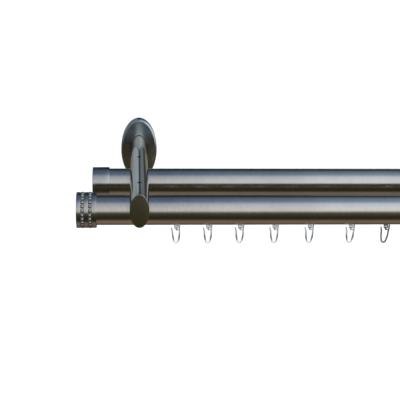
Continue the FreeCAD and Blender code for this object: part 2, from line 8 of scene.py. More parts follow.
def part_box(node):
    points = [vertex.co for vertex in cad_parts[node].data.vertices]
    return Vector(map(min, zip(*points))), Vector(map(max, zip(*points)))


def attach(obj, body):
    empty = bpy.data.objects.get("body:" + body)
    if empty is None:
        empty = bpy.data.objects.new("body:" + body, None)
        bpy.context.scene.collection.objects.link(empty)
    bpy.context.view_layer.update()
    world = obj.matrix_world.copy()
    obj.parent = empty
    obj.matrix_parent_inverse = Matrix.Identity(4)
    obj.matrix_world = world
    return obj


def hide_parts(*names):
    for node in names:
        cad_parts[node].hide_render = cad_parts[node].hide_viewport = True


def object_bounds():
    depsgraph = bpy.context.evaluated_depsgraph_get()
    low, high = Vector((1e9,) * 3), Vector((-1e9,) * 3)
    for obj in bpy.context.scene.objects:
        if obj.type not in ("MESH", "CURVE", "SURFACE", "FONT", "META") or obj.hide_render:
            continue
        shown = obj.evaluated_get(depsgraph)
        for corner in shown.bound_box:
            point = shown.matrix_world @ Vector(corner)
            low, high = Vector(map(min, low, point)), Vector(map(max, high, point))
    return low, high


# Double curtain pole on two wall brackets. X runs along the rods, the room is at -Y, Z is up.
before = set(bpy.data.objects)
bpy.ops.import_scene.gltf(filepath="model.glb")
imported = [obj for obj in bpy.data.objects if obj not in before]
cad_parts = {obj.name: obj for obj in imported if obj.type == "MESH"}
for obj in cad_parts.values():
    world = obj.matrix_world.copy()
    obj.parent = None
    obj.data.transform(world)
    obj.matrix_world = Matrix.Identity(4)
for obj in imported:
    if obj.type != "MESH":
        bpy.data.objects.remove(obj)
cadLow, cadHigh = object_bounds()
mm = 0.001
scene = bpy.context.scene
ends = {"left": -1, "right": 1}
rodNames = ("front", "rear")

print("finishes")


def addNode(tree, kind, **settings):
    node = tree.nodes.new(kind)
    for key, value in settings.items():
        setattr(node, key, value)
    return node


def feed(tree, source, socket):
    # a number or colour is set on the socket, an output is linked to it
    if isinstance(source, bpy.types.NodeSocket):
        tree.links.new(source, socket)
    else:
        socket.default_value = source


def mathOf(tree, operation, first, second):
    node = addNode(tree, "ShaderNodeMath", operation=operation)
    feed(tree, first, node.inputs[0])
    feed(tree, second, node.inputs[1])
    return node.outputs[0]


def rangeOf(tree, value, fromLow, fromHigh, toLow=0.0, toHigh=1.0, smooth=False):
    node = addNode(tree, "ShaderNodeMapRange")
    if smooth:
        node.interpolation_type = "SMOOTHSTEP"
    feed(tree, value, node.inputs["Value"])
    for socket, bound in (
        ("From Min", fromLow), ("From Max", fromHigh), ("To Min", toLow), ("To Max", toHigh)
    ):
        node.inputs[socket].default_value = bound
    return node.outputs["Result"]


def mixOf(tree, share, first, second, blend="MIX"):
    node = addNode(tree, "ShaderNodeMix", data_type="RGBA", blend_type=blend)
    feed(tree, share, node.inputs["Factor"])
    feed(tree, first, node.inputs["A"])
    feed(tree, second, node.inputs["B"])
    return node.outputs["Result"]


def rampOf(tree, value, stops):
    node = addNode(tree, "ShaderNodeValToRGB")
    feed(tree, value, node.inputs["Fac"])
    ramp = node.color_ramp
    while len(ramp.elements) < len(stops):
        ramp.elements.new(1.0)
    for element, (spot, colour) in zip(ramp.elements, stops):
        element.position = spot
        element.color = (*colour, 1.0)
    return node.outputs["Color"]


def noiseOf(tree, place, stretch, detail=3.0):
    # stretch is the noise's scale along each of the piece's own axes
    mapping = addNode(tree, "ShaderNodeMapping")
    mapping.inputs["Scale"].default_value = stretch
    feed(tree, place, mapping.inputs["Vector"])
    noise = addNode(tree, "ShaderNodeTexNoise")
    noise.inputs["Scale"].default_value = 1.0
    noise.inputs["Detail"].default_value = detail
    feed(tree, mapping.outputs["Vector"], noise.inputs["Vector"])
    return noise.outputs["Fac"]


def scaledBy(tree, colour, amount):
    node = addNode(tree, "ShaderNodeVectorMath", operation="SCALE")
    feed(tree, colour, node.inputs[0])
    feed(tree, amount, node.inputs["Scale"])
    return node.outputs[0]


def newMaterial(name):
    material = bpy.data.materials.new(name)
    material.use_nodes = True
    tree = material.node_tree
    shader = tree.nodes["Principled BSDF"]
    place = addNode(tree, "ShaderNodeTexCoord").outputs["Object"]
    return material, tree, shader, place


# most of a noise's values lie in these spans
noiseSpan = (0.3, 0.7)
cloudSpan = (0.35, 0.65)

# fineness is the brushing's scale along each axis, cloud that of the slow change of tone;
# relief is how strongly the brushing stands out, reliefHeight its height in mm
satinSteel = {
    "tone": (0.62, 0.605, 0.585),
    "shade": (0.56, 0.545, 0.53),
    "roughness": (0.17, 0.24),
    "fineness": (2600.0, 260.0, 260.0),
    "cloud": (30.0, 30.0, 30.0),
    "streaks": (0.94, 1.06),
    "relief": 0.05,
    "reliefHeight": 0.05,
}
turnedSteel = {
    **satinSteel,
    "tone": (0.54, 0.545, 0.545),
    "shade": (0.49, 0.49, 0.49),
    "roughness": (0.16, 0.23),
    "fineness": (3000.0, 150.0, 150.0),
}
armSteel = {
    **satinSteel,
    "roughness": (0.09, 0.14),
    "fineness": (700.0, 60.0, 700.0),
}
# the covers are painted a cooler tone above the arms, from 7 to 13 mm up: a painted reflection of
# what the steel mirrors there
coverSteel = {
    **satinSteel,
    "roughness": (0.16, 0.24),
    "fineness": (120.0, 700.0, 120.0),
    "upper": (7.0, 13.0, (0.42, 0.49, 0.55)),
}
zincSteel = {
    **satinSteel,
    "tone": (0.6, 0.61, 0.62),
    "shade": (0.5, 0.5, 0.48),
    "roughness": (0.3, 0.45),
    "fineness": (500.0, 500.0, 500.0),
    "cloud": (120.0, 120.0, 120.0),
    "relief": 0.1,
}
oiledSteel = {
    **satinSteel,
    "tone": (0.3, 0.3, 0.31),
    "shade": (0.22, 0.22, 0.23),
    "roughness": (0.3, 0.42),
    "fineness": (1500.0, 1500.0, 1500.0),
    "relief": 0.1,
}


def steelMaterial(name, look):
    material, tree, shader, place = newMaterial(name)
    brushing = noiseOf(tree, place, look["fineness"], detail=4.0)
    patches = noiseOf(tree, place, look["cloud"], detail=2.0)
    tone = mixOf(tree, rangeOf(tree, patches, *cloudSpan), look["shade"] + (1,), look["tone"] + (1,))
    # painted reflection: above a given height the base colour blends into a cooler tone
    if "upper" in look:
        low, high, upperTone = look["upper"]
        split = addNode(tree, "ShaderNodeSeparateXYZ")
        feed(tree, place, split.inputs[0])
        height = rangeOf(tree, split.outputs["Z"], low * mm, high * mm, smooth=True)
        tone = mixOf(tree, height, tone, upperTone + (1,))
    streaks = rangeOf(tree, brushing, *noiseSpan, *look["streaks"])
    feed(tree, scaledBy(tree, tone, streaks), shader.inputs["Base Color"])
    shader.inputs["Metallic"].default_value = 1.0
    feed(tree, rangeOf(tree, brushing, *noiseSpan, *look["roughness"]), shader.inputs["Roughness"])
    bump = addNode(tree, "ShaderNodeBump")
    bump.inputs["Strength"].default_value = look["relief"]
    bump.inputs["Distance"].default_value = look["reliefHeight"] * mm
    feed(tree, brushing, bump.inputs["Height"])
    feed(tree, bump.outputs["Normal"], shader.inputs["Normal"])
    return material


smokePlastic = {"colour": (0.17, 0.175, 0.175), "clearness": 0.15, "roughness": (0.15, 0.25)}
clearPlastic = {"colour": (0.6, 0.605, 0.6), "clearness": 0.4, "roughness": (0.1, 0.2)}
plugPlastic = {"colour": (0.3, 0.3, 0.31), "clearness": 0.0, "roughness": (0.4, 0.5)}
# light gathers in the bend of a clear hook and leaves its arms darker: each tone is a height
# above the barrel's middle, in mm, and the strength of the colour there
hookPlastic = {
    "colour": (0.96, 0.96, 0.95),
    "clearness": 0.5,
    "roughness": (0.1, 0.2),
    "tones": [
        (-11.0, 1.0),
        (-9.6, 0.95),
        (-8.2, 0.45),
        (-7.0, 0.2),
        (-5.4, 0.23),
        (-3.8, 0.5),
        (-1.5, 0.7),
        (3.0, 0.5),
    ],
}
haze = {"fineness": (900.0, 900.0, 900.0), "depth": 0.9}
plasticIor = 1.49


def plasticMaterial(name, look):
    material, tree, shader, place = newMaterial(name)
    cloud = noiseOf(tree, place, haze["fineness"], detail=2.0)
    deep = tuple(channel * haze["depth"] for channel in look["colour"])
    tint = mixOf(tree, rangeOf(tree, cloud, *noiseSpan), deep + (1,), look["colour"] + (1,))
    # painted light and shade: where a look gives tones, the tint is multiplied by a ramp of tones
    # along the piece's height, brighter in a hook's bend and darker in its arms
    if "tones" in look:
        split = addNode(tree, "ShaderNodeSeparateXYZ")
        feed(tree, place, split.inputs[0])
        bottom, top = look["tones"][0][0], look["tones"][-1][0]
        height = rangeOf(tree, split.outputs["Z"], bottom * mm, top * mm)
        stops = [((z - bottom) / (top - bottom), (tone,) * 3) for z, tone in look["tones"]]
        tint = mixOf(tree, 1.0, tint, rampOf(tree, height, stops), "MULTIPLY")
    feed(tree, tint, shader.inputs["Base Color"])
    feed(tree, rangeOf(tree, cloud, *noiseSpan, *look["roughness"]), shader.inputs["Roughness"])
    shader.inputs["IOR"].default_value = plasticIor
    shader.inputs["Transmission Weight"].default_value = look["clearness"]
    return material


finishes = {
    "rod_steel": steelMaterial("rodSteel", satinSteel),
    "cap_steel": steelMaterial("capSteel", turnedSteel),
    "bracket_steel": steelMaterial("bracketSteel", armSteel),
    "plate_steel": steelMaterial("zincSteel", zincSteel),
    "screw_steel": steelMaterial("screwSteel", oiledSteel),
    "plug_plastic": plasticMaterial("plugPlastic", plugPlastic),
    "clear_plastic": plasticMaterial("clearPlastic", clearPlastic),
    "smoke_plastic": plasticMaterial("smokePlastic", smokePlastic),
}
hookFinish = plasticMaterial("clearHook", hookPlastic)
coverFinish = steelMaterial("coverSteel", coverSteel)


def dress(piece, slot, finish=None):
    piece.data.materials.clear()
    piece.data.materials.append(finish or finishes[slot])


nodeSlots = {
    name: node.data.materials[0].name.split(".")[0] for name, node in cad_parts.items()
}
for name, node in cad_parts.items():
    dress(node, nodeSlots[name])

print("shapes")

# shapes are drawn in millimetres; finished meshes are in metres
tiny = 1e-6
squareCorners = ((-1, -1), (1, -1), (1, 1), (-1, 1))


def skin(bm, first, second):
    # faces between two rings; a ring of one point closes to a tip
    count = max(len(first), len(second))
    for i in range(count):
        j = (i + 1) % count
        corners = [first[i], first[j]] if len(first) > 1 else [first[0]]
        corners += [second[j], second[i]] if len(second) > 1 else [second[0]]
        bm.faces.new(corners)


def loft(rings, loop=False):
    bm = bmesh.new()
    made = [[bm.verts.new(spot) for spot in ring] for ring in rings]
    pairs = list(zip(made, made[1:]))
    if loop:
        pairs.append((made[-1], made[0]))
    for first, second in pairs:
        skin(bm, first, second)
    if not loop:
        for ring in (made[0], made[-1]):
            if len(ring) > 2:
                bm.faces.new(ring)
    return bm


def roundCorners(corners, steps=4, closed=False):
    # each corner is two coordinates and the radius of its rounding
    spots = []
    count = len(corners)
    for i, (u, v, radius) in enumerate(corners):
        here = Vector((u, v))
        atEnd = not closed and i in (0, count - 1)
        if atEnd or radius == 0:
            spots.append(here)
            continue
        before = (Vector(corners[i - 1][:2]) - here).normalized()
        after = (Vector(corners[(i + 1) % count][:2]) - here).normalized()
        half = before.angle(after) / 2
        middle = here + (before + after).normalized() * (radius / math.sin(half))
        first = here + before * (radius / math.tan(half)) - middle
        last = here + after * (radius / math.tan(half)) - middle
        sweep = first.angle_signed(last)
        for step in range(steps + 1):
            spots.append(middle + Matrix.Rotation(-sweep * step / steps, 2) @ first)
    return spots


def turned(profile, segments, loop=False):
    # profile points are a place along X and a radius
    rings = []
    for x, radius in profile:
        if radius < tiny:
            rings.append([(x, 0, 0)])
            continue
        angles = [2 * math.pi * i / segments for i in range(segments)]
        rings.append([(x, radius * math.sin(a), radius * math.cos(a)) for a in angles])
    return loft(rings, loop)


def bar(radius, start, end, axis="X", segments=64):
    bm = turned([(start, radius), (end, radius)], segments)
    if axis == "Y":
        bm.transform(Matrix.Rotation(math.radians(90), 4, "Z"))
    if axis == "Z":
        bm.transform(Matrix.Rotation(math.radians(-90), 4, "Y"))
    return bm


def ovalRing(halfWidth, halfHeight, y, segments=144):
    angles = [2 * math.pi * i / segments for i in range(segments)]
    return [(halfWidth * math.sin(a), y, halfHeight * math.cos(a)) for a in angles]


domeRises = (0.25, 0.5, 0.72, 0.9)


def wire(spots, radii, segments=24, loop=False):
    # round strand along points in the XZ plane, with domed ends
    path = [Vector((x, 0, z)) for x, z in spots]
    count = len(path)
    rings = []
    for i, (here, radius) in enumerate(zip(path, radii)):
        before = path[i - 1] if loop or i else here
        after = path[(i + 1) % count] if loop or i < count - 1 else here
        along = (after - before).normalized()
        across = Vector((-along.z, 0, along.x))
        angles = [2 * math.pi * k / segments for k in range(segments)]
        rings.append([
            here + across * (radius * math.cos(a)) + Vector((0, radius * math.sin(a), 0))
            for a in angles
        ])
        if not loop and i in (0, count - 1):
            outward = -along if i == 0 else along
            domed = []
            for rise in domeRises:
                share = math.sqrt(1 - rise * rise)
                domed.append([
                    here + outward * (radius * rise) + (spot - here) * share for spot in rings[-1]
                ])
            domed.append([here + outward * radius])
            rings = domed[::-1] + rings if i == 0 else rings + domed
    return loft(rings, loop)


def solid(bm, shift=(0, 0, 0)):
    bmesh.ops.translate(bm, verts=bm.verts, vec=shift)
    bmesh.ops.recalc_face_normals(bm, faces=bm.faces)
    mesh = bpy.data.meshes.new("shape")
    bm.to_mesh(mesh)
    bm.free()
    shape = bpy.data.objects.new("shape", mesh)
    scene.collection.objects.link(shape)
    return shape


def combine(base, tools, operation):
    for tool in tools:
        step = base.modifiers.new("step", "BOOLEAN")
        step.operation = operation
        step.solver = "EXACT"
        step.object = tool
    ready = base.evaluated_get(bpy.context.evaluated_depsgraph_get())
    base.data = bpy.data.meshes.new_from_object(ready)
    base.modifiers.clear()
    for tool in tools:
        bpy.data.objects.remove(tool)
    return base


def finishShape(shape, name, sharp=30.0):
    mesh = shape.data
    bpy.data.objects.remove(shape)
    mesh.name = name
    mesh.transform(Matrix.Scale(mm, 4))
    mesh.polygons.foreach_set("use_smooth", [True] * len(mesh.polygons))
    mesh.set_sharp_from_angle(angle=math.radians(sharp))
    return mesh


def addPiece(name, mesh, slot, node, place, body="pole", finish=None):
    piece = bpy.data.objects.new(name, mesh)
    scene.collection.objects.link(piece)
    piece.matrix_world = place
    dress(piece, slot, finish)
    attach(piece, body)
    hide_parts(node)


def shifted(x, y, z):
    return Matrix.Translation((x, y, z))


# where the rods' axes lie, read from the frame
rodAxis = {}
for rod in rodNames:
    low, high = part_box(f"{rod}_rod")
    rodRadius = (high.y - low.y) / 2 / mm
    rodAxis[rod] = ((low.y + high.y) / 2, high.z - rodRadius * mm)

print("rods")

# drawn tube with the gliders' channel behind a slot, and a web over the channel
rodLook = {
    "wall": 1.2,
    "slot": 4.6,
    "lip": 2.2,
    "channel": 3.6,
    "web": 1.0,
    "slotEdge": 0.3,
    "corner": 0.25,
    "outerSteps": 180,
    "channelSteps": 10,
    "chamberSteps": 72,
}


def arcSpots(radius, start, end, count):
    # points of a circle round the axis, angles from straight down, anticlockwise
    angles = [start + (end - start) * i / count for i in range(count + 1)]
    return [(radius * math.sin(a), -radius * math.cos(a)) for a in angles]


def rodShape():
    look = rodLook
    bore = rodRadius - look["wall"]
    half = look["slot"] / 2
    floorZ = look["lip"] - rodRadius
    roofZ = floorZ + look["channel"]
    webZ = roofZ + look["web"]
    slotAngle = math.asin(half / rodRadius)
    floorAngle = math.acos(-floorZ / bore)
    roofAngle = math.acos(-roofZ / bore)
    webAngle = math.acos(-webZ / bore)
    full = 2 * math.pi
    skinSpots = arcSpots(rodRadius, slotAngle, full - slotAngle, look["outerSteps"])
    outline = [(y, z, 0) for y, z in skinSpots]
    outline[0] = (*skinSpots[0], look["slotEdge"])
    outline[-1] = (*skinSpots[-1], look["slotEdge"])
    wallSpots = arcSpots(bore, full - floorAngle, full - roofAngle, look["channelSteps"])
    outline.append((-half, floorZ, look["corner"]))
    outline += [(y, z, 0) for y, z in wallSpots]
    outline += [(-y, z, 0) for y, z in wallSpots[::-1]]
    outline.append((half, floorZ, look["corner"]))
    outer = roundCorners(outline, closed=True)
    chamber = arcSpots(bore, webAngle, full - webAngle, look["chamberSteps"])
    bm = bmesh.new()
    low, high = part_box("front_rod")
    faces = []
    for x in (low.x / mm, high.x / mm):
        faces.append([[bm.verts.new((x, y, z)) for y, z in loop] for loop in (outer, chamber)])
    for first, second in zip(*faces):
        skin(bm, first, second)
    for loops in faces:
        edges = [bm.edges.get((loop[i - 1], loop[i])) for loop in loops for i in range(len(loop))]
        bmesh.ops.triangle_fill(bm, use_beauty=True, use_dissolve=False, edges=edges)
    return solid(bm)


rodMesh = finishShape(rodShape(), "slottedTube")
for rod in rodNames:
    depth, height = rodAxis[rod]
    addPiece(f"{rod}RodTube", rodMesh, "rod_steel", f"{rod}_rod", shifted(0, depth, height))

print("end caps")

# turned caps; the front ones carry two rings of beads, and the open end tapers a little
capLook = {
    "front": {"sleeve": 2.7, "edge": 0.3, "taper": (0.5, 0.05), "beadRings": (4.1, 9.1)},
    "rear": {"sleeve": 10.05, "edge": 0.5, "taper": (1.1, 0.14), "beadRings": ()},
    "bore": 10.1,
    "pegHole": 3.1,
    "pegDepth": 1.2,
    "beads": 24,
    "beadRadius": 1.25,
    "beadStand": 0.3,
    "beadDetail": 3,
    "grooveWidth": 2.3,
    "grooveDepth": 1.1,
    "grooveCorners": (0.1, 0.25),
    "corner": 0.1,
    "floorCorner": 0.3,
    "segments": 144,
}


def capShape(rod, length, radius):
    look = capLook
    rings = look[rod]["beadRings"]
    edge = look[rod]["edge"]
    floor = length - look[rod]["sleeve"]
    taper, drop = look[rod]["taper"]
    corner = look["corner"]
    rimCorner, grooveCorner = look["grooveCorners"]
    corners = [(0, 0, 0), (0, radius, edge)]
    for middle in rings:
        left = middle - look["grooveWidth"] / 2
        right = middle + look["grooveWidth"] / 2
        bottom = radius - look["grooveDepth"]
        corners += [(left, radius, rimCorner), (left, bottom, grooveCorner)]
        corners += [(right, bottom, grooveCorner), (right, radius, rimCorner)]
    corners += [
        (length - taper, radius, 0),
        (length, radius - drop, corner),
        (length, look["bore"], corner),
        (floor, look["bore"], look["floorCorner"]),
        (floor, look["pegHole"], corner),
        (floor - look["pegDepth"], look["pegHole"], corner),
        (floor - look["pegDepth"], 0, 0),
    ]
    cap = solid(turned(roundCorners(corners), look["segments"]))
    if not rings:
        return cap
    beads = bmesh.new()
    reach = radius + look["beadStand"] - look["beadRadius"]
    for middle in rings:
        for i in range(look["beads"]):
            angle = 2 * math.pi * i / look["beads"]
            spot = Matrix.Translation((middle, reach * math.sin(angle), reach * math.cos(angle)))
            bmesh.ops.create_icosphere(
                beads, subdivisions=look["beadDetail"], radius=look["beadRadius"], matrix=spot
            )
    return combine(cap, [solid(beads)], "UNION")


for rod in rodNames:
    low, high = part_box(f"{rod}_cap_left")
    length = (high.x - low.x) / mm
    stand = capLook["beadStand"] if rod == "front" else 0
    radius = (high.z - low.z) / 2 / mm - stand
    capMesh = finishShape(capShape(rod, length, radius), f"{rod}CapTurned", sharp=35)
    for side, direction in ends.items():
        low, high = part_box(f"{rod}_cap_{side}")
        outerEnd = low.x if direction < 0 else high.x
        place = shifted(outerEnd, *rodAxis[rod])
        if direction > 0:
            place = place @ Matrix.Rotation(math.radians(180), 4, "Z")
        addPiece(f"{rod}CapPiece_{side}", capMesh, "cap_steel", f"{rod}_cap_{side}", place)

print("brackets")

armLook = {
    "noseEdge": 0.2,
    "noseSteps": 4,
    "cradle": 10.1,
    "socket": 4.1,
    "socketEnd": 23.1,
    "rodScrewHole": 1.6,
    "armScrewHole": 2.1,
    "armScrewDepth": 16.0,
    "cradleSegments": 160,
    "holeSegments": 40,
}
# crown is where a cover's dome is highest, as a share of its face's half width
coverLook = {
    "outline": (13.5, 23.6),
    "face": (12.3, 22.4),
    "hole": (6.5, 11.5),
    "rim": 5.6,
    "bevelTop": 6.8,
    "top": 7.05,
    "crown": 0.5,
    "wall": 1.2,
    "edge": 0.35,
    "footEdge": 0.2,
    "holeEdge": 0.15,
    "faceSteps": 8,
    "edgeSteps": 5,
    "segments": 192,
}


def armShape(low, high):
    look = armLook
    halfWidth = (high.x - low.x) / 2 / mm
    halfHeight = (high.z - low.z) / 2 / mm
    back = high.y / mm
    nose = low.y / mm
    edge = look["noseEdge"]
    rings = [ovalRing(halfWidth, halfHeight, back)]
    for step in range(look["noseSteps"] + 1):
        angle = math.radians(90 * step / look["noseSteps"])
        inset = edge * (1 - math.cos(angle))
        y = nose + edge * (1 - math.sin(angle))
        rings.append(ovalRing(halfWidth - inset, halfHeight - inset, y))
    arm = solid(loft(rings))
    past = halfHeight * 2
    tools = [solid(bar(look["socket"], back + 1, -look["socketEnd"], "Y"))]
    for depth, height in rodAxis.values():
        place = (0, depth / mm, height / mm)
        cradle = bar(look["cradle"], -halfWidth * 2, halfWidth * 2, segments=look["cradleSegments"])
        hole = bar(look["rodScrewHole"], 0, past, "Z", look["holeSegments"])
        tools += [solid(cradle, place), solid(hole, place)]
    hole = bar(look["armScrewHole"], -past, 0, "Z", look["holeSegments"])
    tools.append(solid(hole, (0, -look["armScrewDepth"], 0)))
    return combine(arm, tools, "DIFFERENCE")


def coverShape():
    # each station of the section is how far it lies in from the outline, and its depth
    look = coverLook
    width, height = look["outline"]
    faceWidth, faceHeight = look["face"]
    holeWidth, holeHeight = look["hole"]
    bevel = width - faceWidth
    inner = width - holeWidth
    spread = (faceHeight - holeHeight) / (faceWidth - holeWidth)
    edge = look["edge"]
    rise = look["top"] - look["bevelTop"]
    crown = look["crown"]

    def faceDepth(inset):
        share = (width - inset) / faceWidth
        return look["top"] - rise * ((share - crown) / (1 - crown)) ** 2

    section = [(0, 0, look["footEdge"]), (0, look["rim"], edge), (bevel, look["bevelTop"], edge)]
    for step in range(1, look["faceSteps"]):
        inset = bevel + (inner - bevel) * step / look["faceSteps"]
        section.append((inset, faceDepth(inset), 0))
    wall = look["wall"]
    section += [
        (inner, faceDepth(inner), look["holeEdge"]),
        (inner, faceDepth(inner) - wall, 0),
        (wall, look["rim"], 0),
        (wall, 0, 0),
    ]
    rings = []
    for inset, depth in roundCorners(section, look["edgeSteps"], closed=True):
        past = max(inset - bevel, 0)
        halfHeight = height - min(inset, bevel) - past * spread
        rings.append(ovalRing(width - inset, halfHeight, -depth, look["segments"]))
    return solid(loft(rings, loop=True))


coverMesh = finishShape(coverShape(), "wallCover", sharp=50)
armLow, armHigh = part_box("arm_left")
armMesh = finishShape(armShape(armLow, armHigh), "bracketArm")
for side in ends:
    low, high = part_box(f"arm_{side}")
    place = shifted((low.x + high.x) / 2, 0, 0)
    addPiece(f"armBar_{side}", armMesh, "bracket_steel", f"arm_{side}", place)
    addPiece(
        f"coverShell_{side}",
        coverMesh,
        "bracket_steel",
        f"rosette_{side}",
        place,
        finish=coverFinish,
    )

print("grub screws")

screwLook = {
    "rod": {"pitch": 0.5, "key": 0.9},
    "arm": {"pitch": 0.7, "key": 1.2},
    "threadDepth": 0.55,
    "keyDepth": 1.6,
    "keyTip": 0.3,
    "steps": 8,
    "segments": 48,
}


def screwShape(kind, radius, length):
    # a threaded pin that stands on its tip at z = 0, with a hexagon socket in its top
    look = screwLook
    pitch = look[kind]["pitch"]
    key = look[kind]["key"]
    depth = pitch * look["threadDepth"]
    segments = look["segments"]
    count = int(length / pitch * look["steps"])
    rings = [[(0, 0, 0)]]
    for i in range(count + 1):
        z = length * i / count
        taper = min(1.0, min(z, length - z) / pitch)
        ring = []
        for k in range(segments):
            turn = k / segments
            wave = abs(((z / pitch - turn) % 1.0) * 2 - 1)
            reach = radius - depth * (1 - wave * taper)
            angle = 2 * math.pi * turn
            ring.append((reach * math.cos(angle), reach * math.sin(angle), z))
        rings.append(ring)
    keyFloor = length - look["keyDepth"]
    for reach, z in ((key, length), (key, keyFloor)):
        ring = []
        for k in range(segments):
            angle = 2 * math.pi * k / segments
            local = (angle + math.pi / 6) % (math.pi / 3) - math.pi / 6
            flat = reach * math.cos(math.pi / 6) / math.cos(local)
            ring.append((flat * math.cos(angle), flat * math.sin(angle), z))
        rings.append(ring)
    rings.append([(0, 0, keyFloor - key * look["keyTip"])])
    return solid(loft(rings))


for kind, nodes in (
    ("rod", [f"{rod}_rod_screw_{side}" for rod in rodNames for side in ends]),
    ("arm", [f"arm_screw_{side}" for side in ends]),
):
    low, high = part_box(nodes[0])
    shape = screwShape(kind, (high.x - low.x) / 2 / mm, (high.z - low.z) / mm)
    screwMesh = finishShape(shape, f"{kind}GrubScrew", sharp=40)
    for node in nodes:
        low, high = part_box(node)
        across = (low.x + high.x) / 2
        depth = (low.y + high.y) / 2
        place = shifted(across, depth, low.z)
        if kind == "arm":
            place = shifted(across, depth, high.z) @ Matrix.Rotation(math.radians(180), 4, "X")
        addPiece(f"{node}_threaded", screwMesh, "screw_steel", node, place)

print("gliders and hooks")

gliderLook = {
    "headLength": 8.0,
    "headWidth": 7.6,
    "headBottom": -7.5,
    "headTop": -5.3,
    "headCorner": 1.1,
    "neckLength": 4.5,
    "neckWidth": 3.9,
    "neckBottom": -10.0,
    "eyeWidth": 3.0,
    "strand": 0.8,
    "eyeBottom": -13.4,
    "eyeTop": -11.2,
    "eyeCorners": (0.45, 0.6),
    "eyeSteps": 6,
    "eyeSegments": 20,
    "stemCorner": 0.15,
    "stemEdge": 0.1,
    "softEdge": 0.25,
}
hookLook = {
    "strand": 1.15,
    "finger": (2.3, 2.55, 0),
    "elbow": (1.92, -5.6, 10.0),
    "bend": (-0.35, -8.79, 1.5),
    "knee": (-2.47, -5.8, 10.0),
    "flare": (-2.65, -2.2, 8.0),
    "tip": (-3.35, 0.75, 0),
    "bendSteps": 18,
    "tipTaper": 0.75,
    "tipSteps": 4,
    "barrelBore": 0.7,
    "barrelRadius": 1.05,
    "barrelWidth": 0.8,
    "barrelCorners": (0.08, 0.12),
    "link": 0.4,
    "linkInset": 0.03,
    "linkDrop": 1.2,
    "cornerSteps": 6,
    "barrelSegments": 48,
    "linkSegments": 24,
    "barBelowAxis": 13.0,
}
# how far each hook along a rod leans to one side, in degrees
hookLeans = (-2.5, -1.5, -0.5, -1.0, 0.5, 2.0, 4.5, 1.5)


def softBlock(halfX, halfY, low, high, corner, edge):
    corners = [(x * halfX, y * halfY, corner) for x, y in squareCorners]
    outline = roundCorners(corners, closed=True)
    bm = loft([[(x, y, z) for x, y in outline] for z in (low, high)])
    rim = [e for e in bm.edges if abs(e.verts[0].co.z - e.verts[1].co.z) < tiny]
    bmesh.ops.bevel(bm, geom=rim, offset=edge, segments=3, affect="EDGES", profile=0.5)
    return bm


def gliderShape():
    look = gliderLook
    edge = look["softEdge"]
    head = solid(
        softBlock(
            look["headLength"] / 2,
            look["headWidth"] / 2,
            look["headBottom"],
            look["headTop"],
            look["headCorner"],
            edge,
        )
    )
    neck = solid(
        softBlock(
            look["neckLength"] / 2,
            look["neckWidth"] / 2,
            look["neckBottom"],
            look["headBottom"] + edge * 2,
            edge * 2,
            edge,
        )
    )
    strand = look["strand"] / 2
    half = look["eyeWidth"] / 2 - strand
    topCorner, bottomCorner = look["eyeCorners"]
    barHeight = look["eyeBottom"] + strand
    loop = roundCorners(
        [
            (-half, look["eyeTop"], topCorner),
            (-half, barHeight, bottomCorner),
            (half, barHeight, bottomCorner),
            (half, look["eyeTop"], topCorner),
        ],
        look["eyeSteps"],
        closed=True,
    )
    eye = solid(wire(loop, [strand] * len(loop), look["eyeSegments"], loop=True))
    stem = solid(
        softBlock(
            look["eyeWidth"] / 2,
            strand,
            look["eyeTop"] - strand / 2,
            look["neckBottom"] + edge * 2,
            look["stemCorner"],
            look["stemEdge"],
        )
    )
    return combine(head, [neck, stem, eye], "UNION")


def hookShape():
    look = hookLook
    strand = look["strand"] / 2
    x, z, bend = look["bend"]
    middle = Vector((x, z))
    touch = []
    for corner, turn in (("elbow", -1), ("knee", 1)):
        reach = Vector(look[corner][:2]) - middle
        touch.append(math.atan2(reach.y, reach.x) + turn * math.acos(bend / reach.length))
    right, left = touch
    left -= 2 * math.pi
    curve = []
    for step in range(look["bendSteps"] + 1):
        angle = right + (left - right) * step / look["bendSteps"]
        curve.append(middle + Vector((math.cos(angle), math.sin(angle))) * bend)
    steps = look["cornerSteps"]
    down = roundCorners([look["finger"], look["elbow"], (*curve[0], 0)], steps)
    up = roundCorners([(*curve[-1], 0), look["knee"], look["flare"], look["tip"]], steps)
    spots = down + curve[1:-1] + up
    taper = look["tipTaper"]
    beforeTip, tip = spots[-2:]
    spots.pop()
    radii = [strand] * len(spots)
    for step in range(1, look["tipSteps"] + 1):
        share = step / look["tipSteps"]
        spots.append(beforeTip.lerp(tip, share))
        radii.append(strand * (1 - (1 - taper) * share))
    # the rounded ends stay inside the strand's length
    spots[0] = spots[0] + (spots[1] - spots[0]).normalized() * strand
    spots[-1] = tip - (tip - beforeTip).normalized() * strand * taper
    body = solid(wire(spots, radii))
    halfBarrel = look["barrelWidth"] / 2
    bore, outside = look["barrelBore"], look["barrelRadius"]
    boreCorner, outsideCorner = look["barrelCorners"]
    section = roundCorners(
        [
            (-halfBarrel, bore, boreCorner),
            (-halfBarrel, outside, outsideCorner),
            (halfBarrel, outside, outsideCorner),
            (halfBarrel, bore, boreCorner),
        ],
        closed=True,
    )
    barrel = solid(turned(section, look["barrelSegments"], loop=True))
    linkEnd = look["finger"][0] - strand / 2
    linkStart = look["linkInset"] - halfBarrel
    link = bar(look["link"], linkStart, linkEnd, segments=look["linkSegments"])
    link = solid(link, (0, 0, -look["linkDrop"]))
    return combine(body, [barrel, link], "UNION")


